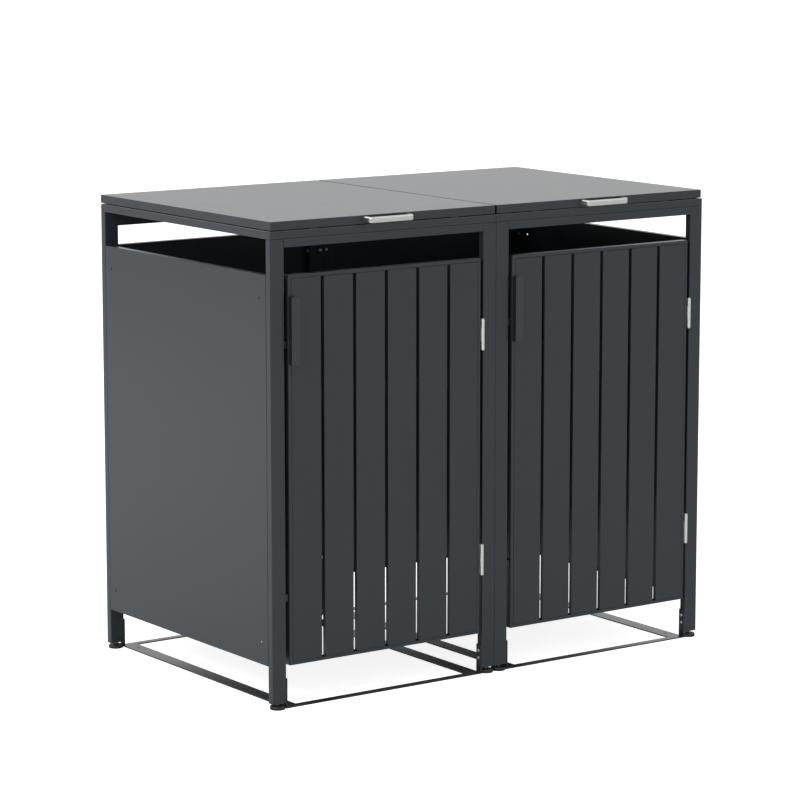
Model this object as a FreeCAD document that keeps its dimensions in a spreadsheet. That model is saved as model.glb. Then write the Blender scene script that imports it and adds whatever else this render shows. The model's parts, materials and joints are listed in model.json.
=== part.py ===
import FreeCAD, Part
import os
import re
import Sketcher

# A double wheelie bin store of coated sheet steel: two equal bays side by side, each with a
# slatted door in front and a lid on top.
# Millimetres. X runs to the right along the front, Y from front to back, Z up.
# The origin is at the bottom, at the middle of the outer box.

SIZES = {
    # one bay
    "module_width": 680.0,
    "frame_depth": 800.0,
    "foot_height": 15.0,
    "post_length": 1146.0,
    # tubes of the frames
    "post_width": 40.0,
    "post_depth": 20.0,
    "tube_wall": 1.5,
    "tube_corner": 2.0,
    "front_rail_height": 21.0,
    "back_rail_height": 38.0,
    "ring_height": 20.0,
    "ring_width": 20.0,
    # folded sheet
    "sheet": 1.5,
    "fold_radius": 1.0,
    # trays that close the sides and the back, and the doors, which are as tall
    "panel_bottom": 107.5,
    "vent_height": 87.5,
    "panel_fold": 18.0,
    "panel_gap": 0.5,
    "open_hole_radius": 2.6,
    "open_hole_margin": 30.0,
    # rows of screws in the posts, measured from the ends of the trays and from the posts' sides
    "row_margin": 57.0,
    "row_inset": 10.0,
    "screw_radius": 1.9,
    "screw_head_radius": 4.5,
    "screw_head_height": 2.5,
    "screw_reach": 6.0,
    "ring_screw_reach": 12.0,
    "screw_clearance": 0.08,
    # floor frame
    "bar_thickness": 3.0,
    "side_bar_width": 40.0,
    "cross_bar_width": 20.0,
    "tab_height": 76.0,
    "tab_screw_drop": 16.0,
    "tab_screw_pitch": 19.5,
    "anchor_radius": 3.5,
    "anchor_inset": 58.0,
    # feet, and the plugs in the ends of the posts
    "foot_clearance": 0.5,
    "foot_thickness": 9.0,
    "foot_edge": 1.0,
    "collar_radius": 6.5,
    "collar_height": 2.5,
    "stem_radius": 4.0,
    "stem_spare": 14.0,
    "stem_clearance": 0.08,
    "plug_height": 16.0,
    "plug_clearance": 0.1,
    # plates that join the two bays
    "link_width": 36.0,
    "link_height": 24.0,
    "link_thickness": 3.0,
    # lid
    "lid_gap": 2.0,
    "lid_height": 21.0,
    "lid_inset": 3.0,
    "lid_setback": 2.0,
    "stiffener_width": 50.0,
    "stiffener_flange": 10.0,
    "stiffener_height": 15.0,
    "stiffener_sheet": 1.2,
    "stiffener_end": 30.0,
    "stiffener_inset": 240.0,
    "buffer_place": 128.0,
    "buffer_length": 28.0,
    "buffer_width": 14.0,
    "buffer_slack": 0.2,
    # lid handle
    "bow_width": 134.0,
    "bow_reach": 32.0,
    "bow_height": 15.0,
    "bow_thickness": 7.0,
    "bow_outer_bend": 11.0,
    "bow_inner_bend": 4.0,
    "bow_edge": 3.4,
    "bow_screw_radius": 1.9,
    "bow_screw_reach": 12.0,
    # door
    "door_gap": 10.0,
    "door_depth": 20.0,
    "door_proud": 2.0,
    "door_rim": 9.0,
    "slot_width": 9.5,
    "slat_fit": 0.2,
    "slat_proud": 0.8,
    "slat_depth": 10.3,
    "slat_sheet": 1.2,
    "crossbar_height": 30.0,
    "crossbar_thickness": 3.0,
    "crossbar_inset": 290.0,
    # door pull
    "pull_inset": 0.5,
    "pull_width": 23.0,
    "pull_reach": 16.0,
    "pull_thickness": 2.0,
    "pull_drop": 53.5,
    "pull_height": 165.0,
    # door catches
    "catch_side_gap": 2.0,
    "catch_front": 2.0,
    "catch_overlap": 12.0,
    "catch_magnet_depth": 12.0,
    "catch_height": 18.0,
    "catch_slack": 0.3,
    "catch_inset": 170.0,
    # hinges
    "knuckle_radius": 4.5,
    "knuckle_play": 0.3,
    "hinge_length": 78.0,
    "end_knuckle": 20.0,
    "hinge_clearance": 0.5,
    "pin_radius": 2.0,
    "pin_head_lip": 1.0,
    "pin_head_height": 1.2,
    "pin_fixed_fit": 0.03,
    "pin_running_fit": 0.08,
    "leaf_thickness": 1.5,
    "leaf_length": 13.0,
    "door_hinge_inset": 154.0,
    "lid_hinge_inset": 71.0,
}

SLATS = 6
SIDES = ("left", "right")
FACES = ("front", "back")

# Two places nearer than this are the same place.
SAME = 0.01

# Planes, levels and axes worked out from the sizes above.
LID_OVERHANG = "(knuckle_radius + hinge_clearance)"
FRONT = "((bow_reach - lid_setback - frame_depth - " + LID_OVERHANG + " - knuckle_radius) / 2)"
BACK = "(" + FRONT + " + frame_depth)"
POST_TOP = "(foot_height + post_length)"
RING_TOP = "(" + POST_TOP + " + ring_height)"
LID_BOTTOM = "(" + RING_TOP + " + lid_gap)"
LID_TOP = "(" + LID_BOTTOM + " + lid_height)"
LID_FRONT = "(" + FRONT + " + lid_setback)"
LID_BACK = "(" + BACK + " + " + LID_OVERHANG + ")"
DOOR_WIDTH = "(module_width - 2 * post_width - 2 * door_gap)"
DOOR_FRONT = "(" + FRONT + " - door_proud)"
DOOR_BACK = "(" + DOOR_FRONT + " + door_depth)"
SLAT_FRONT = "(" + DOOR_FRONT + " - slat_proud)"
PANEL_TOP = "(" + POST_TOP + " - vent_height)"
PANEL_HEIGHT = "(" + PANEL_TOP + " - panel_bottom)"
PANEL_ROWS = ("(panel_bottom + row_margin)", "(" + PANEL_TOP + " - row_margin)")
TAB_ROWS = ("(tab_height - tab_screw_drop)", "(tab_height - tab_screw_drop - tab_screw_pitch)")
FOOT_RADIUS = "(post_width / 2 - foot_clearance)"
STEM_TOP = "(foot_height + plug_height + stem_spare)"
LEAF_START = "(knuckle_radius + hinge_clearance)"
BAY_START = {"left": "(-module_width)", "right": "0"}
SCREW_HOLE = "screw_radius + screw_clearance"

# Turns of a body: its own Z is laid along the named axis. For x and y its own X and Y follow in
# cyclic order.
CYCLE = FreeCAD.Vector(1, 1, 1)
TURN = {
    "z": FreeCAD.Rotation(),
    "x": FreeCAD.Rotation(CYCLE, 120),
    "y": FreeCAD.Rotation(CYCLE, 240),
    "-x": FreeCAD.Rotation(FreeCAD.Vector(0, 1, 0), -90),
    "-y": FreeCAD.Rotation(FreeCAD.Vector(1, 0, 0), 90),
}

doc = FreeCAD.newDocument("BinStore")
sizes = doc.addObject("Spreadsheet::Sheet", "Sizes")
nodes = {}


def fill_sheet():
    """Writes each size as a plain number with its alias."""
    for row, (alias, value) in enumerate(SIZES.items(), start=1):
        sizes.set("A%d" % row, alias)
        sizes.set("B%d" % row, "%g" % value)
        sizes.setAlias("B%d" % row, alias)
    doc.recompute()


def formula(text):
    """Points each size's name in a formula at its cell."""
    def cell(match):
        word = match.group()
        return "Sizes." + word if word in SIZES else word
    return re.sub(r"[a-z][a-z_]*", cell, text)


def number(text):
    """Works a formula out with the sizes as they stand."""
    value = sizes.evalExpression(formula(text))
    return float(getattr(value, "Value", value))


def bind(thing, prop, text):
    thing.setExpression(prop, formula(text))


def place(thing, corner, along="z"):
    """Turns a thing and binds its place to the sizes."""
    thing.Placement = FreeCAD.Placement(FreeCAD.Vector(), TURN[along])
    for axis, text in zip("xyz", corner):
        bind(thing, "Placement.Base." + axis, text)
    return thing


def keep(node, thing):
    """Names a finished sub-part."""
    thing.Label = node
    nodes[node] = thing


def block(name, corner, extent):
    box = doc.addObject("Part::Box", name)
    for prop, text in zip(("Length", "Width", "Height"), extent):
        bind(box, prop, text)
    return place(box, corner)


def rod(name, start, radius, length, along="z"):
    cylinder = doc.addObject("Part::Cylinder", name)
    bind(cylinder, "Radius", radius)
    bind(cylinder, "Height", length)
    return place(cylinder, start, along)


def cut(name, base, tool):
    result = doc.addObject("Part::Cut", name)
    result.Base = base
    result.Tool = tool
    return result


def fuse(name, pieces):
    result = doc.addObject("Part::MultiFuse", name)
    result.Shapes = pieces
    result.Refine = True
    return result


def group(name, pieces):
    """Holds pieces of one kind together, each still a solid of its own."""
    result = doc.addObject("Part::Compound", name)
    result.Links = pieces
    return result


def outline(body, name, points, plane="XY_Plane"):
    """Draws a closed outline of straight lines, each corner set by two bound distances."""
    sketch = body.newObject("Sketcher::SketchObject", name)
    planes = [item for item in body.Origin.OriginFeatures if item.Role == plane]
    sketch.AttachmentSupport = [(planes[0], "")]
    sketch.MapMode = "FlatFace"
    spots = [FreeCAD.Vector(number(across), number(up), 0) for across, up in points]
    count = len(points)
    for index in range(count):
        sketch.addGeometry(Part.LineSegment(spots[index], spots[(index + 1) % count]), False)
    for index in range(count):
        sketch.addConstraint(Sketcher.Constraint("Coincident", index, 2, (index + 1) % count, 1))
    for index, corner in enumerate(points):
        for letter, text, value in zip("XY", corner, spots[index]):
            made = sketch.addConstraint(
                Sketcher.Constraint("Distance" + letter, -1, 1, index, 1, value))
            label = "corner_%d_%s" % (index, letter.lower())
            sketch.renameConstraint(made, label)
            bind(sketch, "Constraints." + label, text)
    return sketch


def padded(name, points, height, corner, along="z"):
    """Draws an outline and gives it height."""
    body = doc.addObject("PartDesign::Body", name)
    pad = body.newObject("PartDesign::Pad", name + "_pad")
    pad.Profile = outline(body, name + "_outline", points)
    bind(pad, "Length", height)
    body.Tip = pad
    doc.recompute()
    return place(body, corner, along)


def turned(name, points, start, along="z"):
    """Turns a half outline, given as radius and height, about the body's own Z."""
    body = doc.addObject("PartDesign::Body", name)
    spin = body.newObject("PartDesign::Revolution", name + "_spin")
    sketch = outline(body, name + "_outline", points, "XZ_Plane")
    spin.Profile = sketch
    spin.ReferenceAxis = (sketch, ["V_Axis"])
    spin.Angle = 360
    body.Tip = spin
    doc.recompute()
    return place(body, start, along)


def rounded(body, name, radius, wanted):
    """Rounds those edges of a body that the test picks, the body standing at its own origin."""
    base = body.Tip
    edges = ["Edge%d" % (index + 1) for index, edge in enumerate(base.Shape.Edges) if wanted(edge)]
    fillet = body.newObject("PartDesign::Fillet", name)
    fillet.Base = (base, edges)
    bind(fillet, "Radius", radius)
    body.Tip = fillet
    doc.recompute()
    return body


def upright(edge):
    """True for an edge that runs along the body's own Z."""
    span = edge.BoundBox
    return span.ZLength > SAME and span.XLength < SAME and span.YLength < SAME


def rectangle(across, up):
    return (("0", "0"), (across, "0"), (across, up), ("0", up))


def tube(name, corner, extent, along):
    """A rectangular tube with rounded long edges and open ends."""
    order = {"z": (0, 1, 2), "x": (1, 2, 0)}[along]
    across, up, length = [extent[index] for index in order]
    body = padded(name, rectangle(across, up), length, corner, along)
    rounded(body, name + "_corners", "tube_corner", upright)
    far_across = across + " - tube_wall"
    far_up = up + " - tube_wall"
    inner = (("tube_wall", "tube_wall"), (far_across, "tube_wall"),
             (far_across, far_up), ("tube_wall", far_up))
    full = body.Shape.Volume
    pocket = body.newObject("PartDesign::Pocket", name + "_hollow")
    pocket.Profile = outline(body, name + "_bore", inner)
    pocket.Type = "ThroughAll"
    pocket.Reversed = True
    body.Tip = pocket
    doc.recompute()
    if body.Shape.Volume > 0.9 * full:
        raise ValueError("the bore of " + name + " cut nothing")
    return body


def grown(text, amount):
    return "(%s) + %s" % (text, amount)


def tray(name, corner, extent, open_to):
    """A folded tray: one closed face, four edges turned in, and its outer folds rounded."""
    width, depth, height = extent
    body = padded(name + "_outside", rectangle(width, depth), height, corner)
    mouths = {"+x": ("X", width), "-x": ("X", "0"), "-y": ("Y", "0"), "-z": ("Z", "0")}
    letter, level = mouths[open_to]
    mouth = number(level)

    def fold(edge):
        lowest = getattr(edge.BoundBox, letter + "Min")
        highest = getattr(edge.BoundBox, letter + "Max")
        return max(abs(lowest - mouth), abs(highest - mouth)) > SAME

    rounded(body, name + "_folds", "fold_radius", fold)
    inner_corner = [grown(text, "sheet") for text in corner]
    inner_extent = ["(%s) - 2 * sheet" % text for text in extent]
    axis = "XYZ".index(letter)
    inner_extent[axis] = extent[axis]
    if open_to[0] == "-":
        inner_corner[axis] = grown(corner[axis], "-sheet")
    hollow = block(name + "_inside", inner_corner, inner_extent)
    return cut(name + "_tray", body, hollow)


def screw(name, seat, grip, along, reach="screw_reach"):
    """A low-headed screw: its head stands on the seat and its shank runs back through the grip."""
    tip = "-(" + grip + " + " + reach + ")"
    points = (("0", tip), ("screw_radius", tip), ("screw_radius", "0"),
              ("screw_head_radius", "0"), ("screw_head_radius", "screw_head_height"),
              ("0", "screw_head_height"))
    return turned(name, points, seat, along)


def wall_hole(name, start, wall, along, radius=SCREW_HOLE):
    """A tool that goes through one wall: it starts one wall's thickness before it."""
    return rod(name, start, radius, "3 * " + wall, along)


def bay(side, offset):
    """The X of a place inside a bay."""
    return BAY_START[side] + " + " + offset


def post_centre(side, end, face):
    """The X and Y of the middle of a post, at the left or right end of a bay."""
    across = {"left": "post_width / 2", "right": "module_width - post_width / 2"}[end]
    return (bay(side, across), post_middle(face))


def post_middle(face):
    return {"front": FRONT + " + post_depth / 2", "back": BACK + " - post_depth / 2"}[face]


def make_frame(side, face):
    """Two posts and a top rail, welded, with the holes for screws in their inner walls."""
    name = side + "_" + face
    y = {"front": FRONT, "back": BACK + " - post_depth"}[face]
    rail_height = face + "_rail_height"
    clear_width = "module_width - 2 * post_width"
    second_post = "module_width - post_width"
    pieces = [
        tube(name + "_post_a", (bay(side, "0"), y, "foot_height"),
             ("post_width", "post_depth", "post_length"), "z"),
        tube(name + "_post_b", (bay(side, second_post), y, "foot_height"),
             ("post_width", "post_depth", "post_length"), "z"),
        tube(name + "_rail", (bay(side, "post_width"), y, POST_TOP + " - " + rail_height),
             (clear_width, "post_depth", rail_height), "x"),
    ]
    holes = []
    inner_wall = {"front": FRONT + " + post_depth - 2 * tube_wall",
                  "back": BACK + " - post_depth - tube_wall"}[face]
    first_wall = bay(side, "post_width - 2 * tube_wall")
    second_wall = bay(side, "module_width - post_width - tube_wall")
    for level in PANEL_ROWS:
        for x in ("row_inset", "module_width - row_inset"):
            holes.append(wall_hole(name + "_row_hole", (bay(side, x), inner_wall, level),
                                   "tube_wall", "y"))
    for level in TAB_ROWS:
        for x in (first_wall, second_wall):
            holes.append(wall_hole(name + "_tab_hole", (x, post_middle(face), level),
                                   "tube_wall", "x"))
    if face == "back":
        for level in PANEL_ROWS:
            for x in (first_wall, second_wall):
                holes.append(wall_hole(name + "_panel_hole", (x, BACK + " - row_inset", level),
                                       "tube_wall", "x"))
    welded = fuse(name + "_welded", pieces)
    keep(name + "_frame", cut(name + "_drilled", welded, fuse(name + "_holes", holes)))


def make_ring(side):
    """The mitred ring on top of the posts: a closed tube all round."""
    name = side + "_ring"
    corner = (bay(side, "0"), FRONT, POST_TOP)
    body = padded(name + "_outside", rectangle("module_width", "frame_depth"), "ring_height",
                  corner)
    rounded(body, name + "_corners", "tube_corner", lambda edge: True)
    opening = block(name + "_opening",
                    (bay(side, "ring_width"), FRONT + " + ring_width", POST_TOP + " - ring_height"),
                    ("module_width - 2 * ring_width", "frame_depth - 2 * ring_width",
                     "3 * ring_height"))
    bore = "ring_width - 2 * tube_wall"
    bore_height = "ring_height - 2 * tube_wall"
    long_x = "module_width - 2 * tube_wall"
    long_y = "frame_depth - 2 * tube_wall"
    low = POST_TOP + " + tube_wall"
    near_x = bay(side, "tube_wall")
    near_y = FRONT + " + tube_wall"
    far_x = bay(side, "module_width - ring_width + tube_wall")
    far_y = BACK + " - ring_width + tube_wall"
    bores = [
        block(name + "_front_bore", (near_x, near_y, low), (long_x, bore, bore_height)),
        block(name + "_back_bore", (near_x, far_y, low), (long_x, bore, bore_height)),
        block(name + "_left_bore", (near_x, near_y, low), (bore, long_y, bore_height)),
        block(name + "_right_bore", (far_x, near_y, low), (bore, long_y, bore_height)),
    ]
    hollow = cut(name + "_hollow", cut(name + "_open", body, opening),
                 fuse(name + "_bores", bores))
    holes = []
    for face in FACES:
        for end in SIDES:
            start = post_centre(side, end, face) + (POST_TOP + " - ring_height",)
            holes.append(rod(name + "_screw_hole", start, SCREW_HOLE, "3 * ring_height"))
    keep(side + "_top_ring", cut(name + "_drilled", hollow, fuse(name + "_holes", holes)))


def make_ring_screws(side):
    """A long screw through each corner of the ring into the plug in the post below."""
    name = side + "_ring_screw"
    screws = []
    for face in FACES:
        for end in SIDES:
            seat = post_centre(side, end, face) + (RING_TOP,)
            screws.append(screw(name, seat, "ring_height", "z", "ring_screw_reach"))
    keep(name + "s", group(name + "_group", screws))


def side_flange(face):
    """The Y of the outer face of a side panel's upright flange, where it meets a post."""
    return {"front": FRONT + " + post_depth + panel_gap",
            "back": BACK + " - post_depth - panel_gap"}[face]


def side_screw_x(side):
    return bay(side, {"left": "row_inset", "right": "module_width - row_inset"}[side])


def make_side_panel(side):
    """The tray between the end posts, with its four open holes and its screw holes."""
    name = side + "_side_panel"
    x = {"left": "0", "right": "module_width - panel_fold"}[side]
    body = tray(name, (bay(side, x), side_flange("front"), "panel_bottom"),
                ("panel_fold", "frame_depth - 2 * post_depth - 2 * panel_gap", PANEL_HEIGHT),
                {"left": "+x", "right": "-x"}[side])
    holes = []
    face_x = bay(side, {"left": "-sheet", "right": "module_width - 2 * sheet"}[side])
    for level in PANEL_ROWS:
        for y in (FRONT + " + post_depth + open_hole_margin",
                  BACK + " - post_depth - open_hole_margin"):
            holes.append(wall_hole(name + "_open_hole", (face_x, y, level), "sheet", "x",
                                   "open_hole_radius"))
        for y in (side_flange("front") + " - sheet", side_flange("back") + " - 2 * sheet"):
            holes.append(wall_hole(name + "_screw_hole", (side_screw_x(side), y, level), "sheet",
                                   "y"))
    keep(name, cut(name + "_drilled", body, fuse(name + "_holes", holes)))


def back_flange(end):
    """The X in a bay of the outer face of the back panel's upright flange."""
    return {"left": "post_width + panel_gap", "right": "module_width - post_width - panel_gap"}[end]


def make_back_panel(side):
    """The tray between the back posts."""
    name = side + "_back_panel"
    body = tray(name, (bay(side, back_flange("left")), BACK + " - panel_fold", "panel_bottom"),
                ("module_width - 2 * post_width - 2 * panel_gap", "panel_fold", PANEL_HEIGHT),
                "-y")
    holes = []
    for level in PANEL_ROWS:
        for x in (back_flange("left") + " - sheet", back_flange("right") + " - 2 * sheet"):
            holes.append(wall_hole(name + "_screw_hole",
                                   (bay(side, x), BACK + " - row_inset", level), "sheet", "x"))
    keep(name, cut(name + "_drilled", body, fuse(name + "_holes", holes)))


def make_panel_screws(side):
    """Screws that hold the side panel and the back panel to the posts."""
    name = side + "_panel_screw"
    grip = "sheet + panel_gap + tube_wall"
    screws = []
    for level in PANEL_ROWS:
        screws.append(screw(name, (side_screw_x(side), side_flange("front") + " + sheet", level),
                            grip, "y"))
        screws.append(screw(name, (side_screw_x(side), side_flange("back") + " - sheet", level),
                            grip, "-y"))
        for end, turn, inward in (("left", "x", " + sheet"), ("right", "-x", " - sheet")):
            seat = (bay(side, back_flange(end) + inward), BACK + " - row_inset", level)
            screws.append(screw(name, seat, grip, turn))
    keep(name + "s", group(name + "_group", screws))


def make_floor_frame(side):
    """Flat bars on the floor, welded into a rectangle, with a tab up the inside of each post."""
    name = side + "_floor_frame"
    inner = "module_width - 2 * post_width"
    far_bar = "module_width - post_width - side_bar_width"
    far_tab = "module_width - post_width - bar_thickness"
    side_length = "frame_depth - 2 * cross_bar_width"
    pieces = []
    for x in ("post_width", far_bar):
        pieces.append(block(name + "_side_bar", (bay(side, x), FRONT + " + cross_bar_width", "0"),
                            ("side_bar_width", side_length, "bar_thickness")))
    for y in (FRONT, BACK + " - cross_bar_width"):
        pieces.append(block(name + "_cross_bar", (bay(side, "post_width"), y, "0"),
                            (inner, "cross_bar_width", "bar_thickness")))
    for y in (FRONT, BACK + " - post_depth"):
        for x in ("post_width", far_tab):
            pieces.append(block(name + "_tab", (bay(side, x), y, "0"),
                                ("bar_thickness", "post_depth", "tab_height")))
    holes = []
    for y in (FRONT + " + anchor_inset", BACK + " - anchor_inset"):
        for x in ("post_width + side_bar_width / 2", far_bar + " + side_bar_width / 2"):
            holes.append(rod(name + "_anchor_hole", (bay(side, x), y, "-bar_thickness"),
                             "anchor_radius", "3 * bar_thickness"))
    for face in FACES:
        for level in TAB_ROWS:
            for x in ("post_width - bar_thickness", far_tab + " - bar_thickness"):
                holes.append(wall_hole(name + "_tab_hole",
                                       (bay(side, x), post_middle(face), level),
                                       "bar_thickness", "x"))
    keep(name, cut(name + "_drilled", fuse(name + "_welded", pieces),
                   fuse(name + "_holes", holes)))


def make_floor_screws(side):
    """Two screws through each tab into its post."""
    name = side + "_floor_screw"
    grip = "bar_thickness + tube_wall"
    screws = []
    for face in FACES:
        for level in TAB_ROWS:
            for x, turn in (("post_width + bar_thickness", "x"),
                            ("module_width - post_width - bar_thickness", "-x")):
                seat = (bay(side, x), post_middle(face), level)
                screws.append(screw(name, seat, grip, turn))
    keep(name + "s", group(name + "_group", screws))


def plug(name, middle, level, bore_radius):
    """A block in the end of a post, with a bore down its middle."""
    margin = "(tube_wall + plug_clearance)"
    x, y = middle
    body = block(name + "_body",
                 (x + " - post_width / 2 + " + margin, y + " - post_depth / 2 + " + margin, level),
                 ("post_width - 2 * " + margin, "post_depth - 2 * " + margin, "plug_height"))
    bore = rod(name + "_bore", (x, y, level + " - plug_height"), bore_radius, "3 * plug_height")
    return cut(name, body, bore)


def make_post_plugs(side):
    """Plugs in both ends of each post: the lower for a foot's stem, the upper for a ring screw."""
    name = side + "_post_plug"
    plugs = []
    for face in FACES:
        for end in SIDES:
            middle = post_centre(side, end, face)
            plugs.append(plug(name, middle, "foot_height", "stem_radius + stem_clearance"))
            plugs.append(plug(name, middle, POST_TOP + " - plug_height", SCREW_HOLE))
    keep(name + "s", group(name + "_group", plugs))


def make_foot(side, face, end):
    """A round levelling foot with its collar and threaded stem."""
    rim = FOOT_RADIUS + " - foot_edge"
    collar_top = "foot_thickness + collar_height"
    points = (("0", "0"), (rim, "0"), (FOOT_RADIUS, "foot_edge"),
              (FOOT_RADIUS, "foot_thickness - foot_edge"), (rim, "foot_thickness"),
              ("collar_radius", "foot_thickness"), ("collar_radius", collar_top),
              ("stem_radius", collar_top), ("stem_radius", STEM_TOP), ("0", STEM_TOP))
    node = "%s_bay_%s_%s_foot" % (side, face, end)
    keep(node, turned(node + "_body", points, post_centre(side, end, face) + ("0",)))


def make_links():
    """Plates across the seam, on the inner faces of the middle posts, each with two screws."""
    plates = []
    screws = []
    back_seat = BACK + " - post_depth - link_thickness"
    front_seat = FRONT + " + post_depth + link_thickness"
    for level in PANEL_ROWS:
        for low, seat, turn in ((FRONT + " + post_depth", front_seat, "y"),
                                (back_seat, back_seat, "-y")):
            plate = block("link_plate_body", ("-link_width / 2", low, level + " - link_height / 2"),
                          ("link_width", "link_thickness", "link_height"))
            holes = []
            for x in ("-row_inset", "row_inset"):
                holes.append(wall_hole("link_hole", (x, low + " - link_thickness", level),
                                       "link_thickness", "y"))
                screws.append(screw("link_screw", (x, seat, level), "link_thickness + tube_wall",
                                    turn))
            plates.append(cut("link_plate", plate, fuse("link_holes", holes)))
    keep("bay_link_plates", group("link_plate_group", plates))
    keep("bay_link_screws", group("link_screw_group", screws))


def bow_screw_places(side):
    """The X of the middle of each leg of the lid handle."""
    middle = bay(side, "module_width / 2")
    reach = "(bow_width / 2 - bow_thickness / 2)"
    return (middle + " - " + reach, middle + " + " + reach)


def bow_level():
    return LID_BOTTOM + " + lid_height / 2"


def make_lid(side):
    """The lid: a shallow tray turned over, with two screw holes in its front fold."""
    name = side + "_lid"
    body = tray(name, (bay(side, "lid_inset"), LID_FRONT, LID_BOTTOM),
                ("module_width - 2 * lid_inset", LID_BACK + " - " + LID_FRONT, "lid_height"), "-z")
    holes = [wall_hole(name + "_hole", (x, LID_FRONT + " - sheet", bow_level()), "sheet", "y",
                       "bow_screw_radius + screw_clearance") for x in bow_screw_places(side)]
    keep(name, cut(name + "_drilled", body, fuse(name + "_holes", holes)))


def make_stiffeners(side):
    """Two folded channels under the lid's sheet."""
    name = side + "_lid_stiffener"
    top = "stiffener_height"
    under = "stiffener_height - stiffener_sheet"
    far = "stiffener_width"
    points = (("0", top), ("0", under), ("stiffener_flange", under), ("stiffener_flange", "0"),
              (far + " - stiffener_flange", "0"), (far + " - stiffener_flange", under),
              (far, under), (far, top),
              (far + " - stiffener_flange - stiffener_sheet", top),
              (far + " - stiffener_flange - stiffener_sheet", "stiffener_sheet"),
              ("stiffener_flange + stiffener_sheet", "stiffener_sheet"),
              ("stiffener_flange + stiffener_sheet", top))
    end = "(lid_inset + sheet + stiffener_end)"
    level = LID_TOP + " - sheet - stiffener_height"
    channels = []
    for y in (LID_FRONT + " + stiffener_inset - stiffener_width / 2",
              LID_BACK + " - stiffener_inset - stiffener_width / 2"):
        channels.append(padded(name, points, "module_width - 2 * " + end,
                               (bay(side, end), y, level), "x"))
    keep(name + "s", group(name + "_group", channels))


def make_lid_handle(side):
    """A bow of flat bar with rounded bends, tapped in the ends of its legs."""
    name = side + "_lid_handle"
    inner_far = "bow_width - bow_thickness"
    points = (("0", "0"), ("bow_width", "0"), ("bow_width", "bow_reach"), (inner_far, "bow_reach"),
              (inner_far, "bow_thickness"), ("bow_thickness", "bow_thickness"),
              ("bow_thickness", "bow_reach"), ("0", "bow_reach"))
    corner = (bay(side, "module_width / 2 - bow_width / 2"), LID_FRONT + " - bow_reach",
              bow_level() + " - bow_height / 2")
    body = padded(name + "_bow", points, "bow_height", corner)
    front = number("bow_thickness")

    def outer_bend(edge):
        return upright(edge) and edge.BoundBox.YMax < SAME

    def inner_bend(edge):
        return upright(edge) and SAME < edge.BoundBox.YMax < front + SAME

    def flat_rim(edge):
        return edge.BoundBox.ZLength < SAME and edge.BoundBox.YMin < front / 2

    rounded(body, name + "_outer_bends", "bow_outer_bend", outer_bend)
    rounded(body, name + "_inner_bends", "bow_inner_bend", inner_bend)
    rounded(body, name + "_rims", "bow_edge", flat_rim)
    holes = [rod(name + "_hole", (x, LID_FRONT + " - bow_screw_reach", bow_level()),
                 "bow_screw_radius + screw_clearance", "2 * bow_screw_reach", "y")
             for x in bow_screw_places(side)]
    keep(name, cut(name + "_drilled", body, fuse(name + "_holes", holes)))


def make_handle_screws(side):
    """Screws from inside the lid's front fold into the legs of the handle."""
    name = side + "_handle_screw"
    tip = "-(sheet + bow_screw_reach - screw_clearance)"
    points = (("0", tip), ("bow_screw_radius", tip), ("bow_screw_radius", "0"),
              ("screw_head_radius", "0"), ("screw_head_radius", "screw_head_height"),
              ("0", "screw_head_height"))
    screws = [turned(name, points, (x, LID_FRONT + " + sheet", bow_level()), "y")
              for x in bow_screw_places(side)]
    keep(name + "s", group(name + "_group", screws))


def make_buffers(side):
    """Rubber pads on the ring that the front edge of the lid comes down on."""
    name = side + "_lid_buffer"
    pads = []
    for x in ("buffer_place", "module_width - buffer_place"):
        corner = (bay(side, x + " - buffer_length / 2"), LID_FRONT, RING_TOP)
        pad = padded(name, rectangle("buffer_length", "buffer_width"), "lid_gap - buffer_slack",
                     corner)
        pads.append(rounded(pad, name + "_ends", "buffer_width / 4", upright))
    keep(name + "s", group(name + "_group", pads))


def knuckle(name, start, offset, length, fit, along):
    """One bored knuckle, so far along the hinge's axis."""
    axis = {"z": 2, "x": 0}[along]
    outer_start = list(start)
    outer_start[axis] = start[axis] + " + " + offset
    bore_start = list(start)
    bore_start[axis] = start[axis] + " + " + offset + " - knuckle_play"
    outer = rod(name + "_barrel", outer_start, "knuckle_radius", length, along)
    bore = rod(name + "_bore", bore_start, "pin_radius + " + fit, length + " + 2 * knuckle_play",
               along)
    return outer, bore


MIDDLE_START = "end_knuckle + knuckle_play"
MIDDLE_LENGTH = "hinge_length - 2 * end_knuckle - 2 * knuckle_play"
OUTER_STARTS = ("0", "hinge_length - end_knuckle")


def leaf(name, start, along, flat_start, flat_extent, neck_start, neck_extent, outer):
    """One half of a hinge: its plate, its necks and its bored knuckles as one solid.

    The starts are offsets from the axis; the entry along the axis is left to this function.
    """
    axis = {"z": 2, "x": 0}[along]

    def piece(part_name, offsets, extents, along_start, length):
        corner = [text + " + " + move for text, move in zip(start, offsets)]
        corner[axis] = start[axis] + " + " + along_start
        size = list(extents)
        size[axis] = length
        return block(part_name, corner, size)

    runs = [(offset, "end_knuckle") for offset in OUTER_STARTS] if outer else [
        (MIDDLE_START, MIDDLE_LENGTH)]
    fit = "pin_fixed_fit" if outer else "pin_running_fit"
    solids = [piece(name + "_plate", flat_start, flat_extent, "0", "hinge_length")]
    bores = []
    for offset, length in runs:
        solids.append(piece(name + "_neck", neck_start, neck_extent, offset, length))
        barrel, bore = knuckle(name, start, offset, length, fit, along)
        solids.append(barrel)
        bores.append(bore)
    tool = fuse(name + "_bores", bores) if len(bores) > 1 else bores[0]
    return cut(name, fuse(name + "_solid", solids), tool)


def pin(name, start, along):
    """A hinge pin with a small head at each end."""
    head = "pin_radius + pin_head_lip"
    points = (("0", "-pin_head_height"), (head, "-pin_head_height"), (head, "0"),
              ("pin_radius", "0"), ("pin_radius", "hinge_length"), (head, "hinge_length"),
              (head, "hinge_length + pin_head_height"), ("0", "hinge_length + pin_head_height"))
    return turned(name, points, start, along)


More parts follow.
